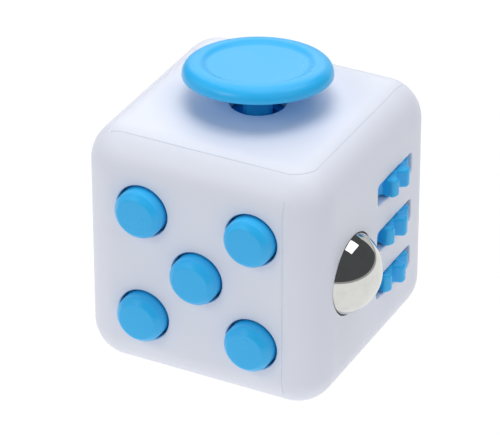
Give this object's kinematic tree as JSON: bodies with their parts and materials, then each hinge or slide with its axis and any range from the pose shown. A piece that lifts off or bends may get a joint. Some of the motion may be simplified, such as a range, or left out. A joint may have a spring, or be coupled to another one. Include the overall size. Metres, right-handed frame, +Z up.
{
  "type": "fidget cube",
  "caption": "Pocket cube with push buttons, a roller ball, cog wheels, a gliding thumb disc, a dial, a rocker switch and a worry-stone hollow.",
  "frame": {"origin": "on the ground under the cube's centre", "axes": "+Z up through the gliding disc, -Y out of the five-button face, +X out of the ball and cog face, +Y out of the rocker face"},
  "size_m": [0.0395, 0.0373, 0.0389],
  "materials": {
    "white_plastic": "fine satin moulded texture",
    "blue_plastic": "smooth semi-gloss",
    "grey_plastic": "moulded",
    "natural_plastic": "moulded, slippery",
    "silicone": "matte",
    "polished_steel": "mirror polished",
    "spring_steel": "bright drawn",
    "zinc_plated_steel": "zinc plated",
    "brass": "turned"
  },
  "bodies": {
    "case": {"top_panel": "white_plastic", "bottom_panel": "white_plastic", "front_left_shell": "white_plastic", "right_back_shell": "white_plastic", "snap_dome_ul": "spring_steel", "snap_dome_centre": "spring_steel", "snap_dome_lr": "spring_steel", "quiet_dome_ur": "silicone", "quiet_dome_ll": "silicone", "button_plate": "grey_plastic", "button_plate_screw_1": "zinc_plated_steel", "button_plate_screw_2": "zinc_plated_steel", "button_plate_screw_3": "zinc_plated_steel", "button_plate_screw_4": "zinc_plated_steel", "ball_spring": "spring_steel", "ball_bracket": "zinc_plated_steel", "ball_bracket_screw_1": "zinc_plated_steel", "ball_bracket_screw_2": "zinc_plated_steel", "gear_axle": "spring_steel", "gear_spacer_lower": "natural_plastic", "gear_spacer_upper": "natural_plastic", "axle_clip_lower": "spring_steel", "axle_clip_upper": "spring_steel", "axle_bracket_lower": "zinc_plated_steel", "axle_bracket_upper": "zinc_plated_steel", "axle_bracket_screw_1": "zinc_plated_steel", "axle_bracket_screw_2": "zinc_plated_steel", "axle_bracket_screw_3": "zinc_plated_steel", "axle_bracket_screw_4": "zinc_plated_steel", "glide_base": "grey_plastic", "glide_spring": "spring_steel", "glide_base_screw_1": "zinc_plated_steel", "glide_base_screw_2": "zinc_plated_steel", "glide_base_screw_3": "zinc_plated_steel", "glide_base_screw_4": "zinc_plated_steel", "dial_bushing": "brass", "rocker_pin": "spring_steel", "rocker_frame": "grey_plastic", "detent_leaf": "spring_steel", "rocker_frame_screw_1": "zinc_plated_steel", "rocker_frame_screw_2": "zinc_plated_steel"},
    "button_ul": {"button_ul": "blue_plastic"},
    "button_ur": {"button_ur": "blue_plastic"},
    "button_centre": {"button_centre": "blue_plastic"},
    "button_ll": {"button_ll": "blue_plastic"},
    "button_lr": {"button_lr": "blue_plastic"},
    "glide_carriage": {"glide_slider": "blue_plastic"},
    "glide_runner": {"glide_foot": "natural_plastic"},
    "glide_disc": {"glide_cap": "blue_plastic", "glide_foot_screw": "zinc_plated_steel"},
    "ball_carrier": {"ball_cup": "natural_plastic"},
    "ball": {"roll_ball": "polished_steel"},
    "gear_upper": {"gear_upper": "blue_plastic"},
    "gear_middle": {"gear_middle": "blue_plastic"},
    "gear_lower": {"gear_lower": "blue_plastic"},
    "dial": {"dial": "blue_plastic", "dial_washer": "spring_steel", "dial_screw": "zinc_plated_steel"},
    "rocker": {"rocker": "blue_plastic"}
  },
  "joints": [
    {"name": "button_ul_press", "type": "slide", "parent": "case", "child": "button_ul", "axis": [0, 1, 0], "range_m": [0, 0.0009], "stiffness_N_per_m": 1500, "deforming": ["snap_dome_ul"]},
    {"name": "button_ur_press", "type": "slide", "parent": "case", "child": "button_ur", "axis": [0, 1, 0], "range_m": [0, 0.0009], "stiffness_N_per_m": 1500, "deforming": ["quiet_dome_ur"]},
    {"name": "button_centre_press", "type": "slide", "parent": "case", "child": "button_centre", "axis": [0, 1, 0], "range_m": [0, 0.0009], "stiffness_N_per_m": 1500, "deforming": ["snap_dome_centre"]},
    {"name": "button_ll_press", "type": "slide", "parent": "case", "child": "button_ll", "axis": [0, 1, 0], "range_m": [0, 0.0009], "stiffness_N_per_m": 1500, "deforming": ["quiet_dome_ll"]},
    {"name": "button_lr_press", "type": "slide", "parent": "case", "child": "button_lr", "axis": [0, 1, 0], "range_m": [0, 0.0009], "stiffness_N_per_m": 1500, "deforming": ["snap_dome_lr"]},
    {"name": "glide_x", "type": "slide", "parent": "case", "child": "glide_carriage", "axis": [1, 0, 0], "range_m": [-0.0009, 0.0009], "stiffness_N_per_m": 400, "deforming": ["glide_spring"]},
    {"name": "glide_y", "type": "slide", "parent": "glide_carriage", "child": "glide_runner", "axis": [0, 1, 0], "range_m": [-0.0009, 0.0009], "stiffness_N_per_m": 400, "deforming": ["glide_spring"]},
    {"name": "glide_tilt", "type": "hinge", "parent": "glide_runner", "child": "glide_disc", "pos_m": [0, 0, 0.0302], "axis": [0.891, 0.454, 0], "range_deg": [0, 12]},
    {"name": "ball_press", "type": "slide", "parent": "case", "child": "ball_carrier", "axis": [-1, 0, 0], "range_m": [0, 0.00075], "stiffness_N_per_m": 1500, "deforming": ["ball_spring"]},
    {"name": "ball_roll", "type": "hinge", "parent": "ball_carrier", "child": "ball", "pos_m": [0.0145, -0.0069, 0.0165], "axis": [0, 1, 0], "continuous": true},
    {"name": "gear_upper_spin", "type": "hinge", "parent": "case", "child": "gear_upper", "pos_m": [0.01205, 0.0051, 0.02355], "axis": [0, 0, 1], "continuous": true},
    {"name": "gear_middle_spin", "type": "hinge", "parent": "case", "child": "gear_middle", "pos_m": [0.01205, 0.0051, 0.01682], "axis": [0, 0, 1], "continuous": true},
    {"name": "gear_lower_spin", "type": "hinge", "parent": "case", "child": "gear_lower", "pos_m": [0.01205, 0.0051, 0.01009], "axis": [0, 0, 1], "continuous": true},
    {"name": "dial_spin", "type": "hinge", "parent": "case", "child": "dial", "pos_m": [-0.0165, 0, 0.0165], "axis": [-1, 0, 0], "continuous": true},
    {"name": "rocker_flip", "type": "hinge", "parent": "case", "child": "rocker", "pos_m": [0, 0.0132, 0.0165], "axis": [1, 0, 0], "range_deg": [-22, 0], "deforming": ["detent_leaf"]}
  ]
}
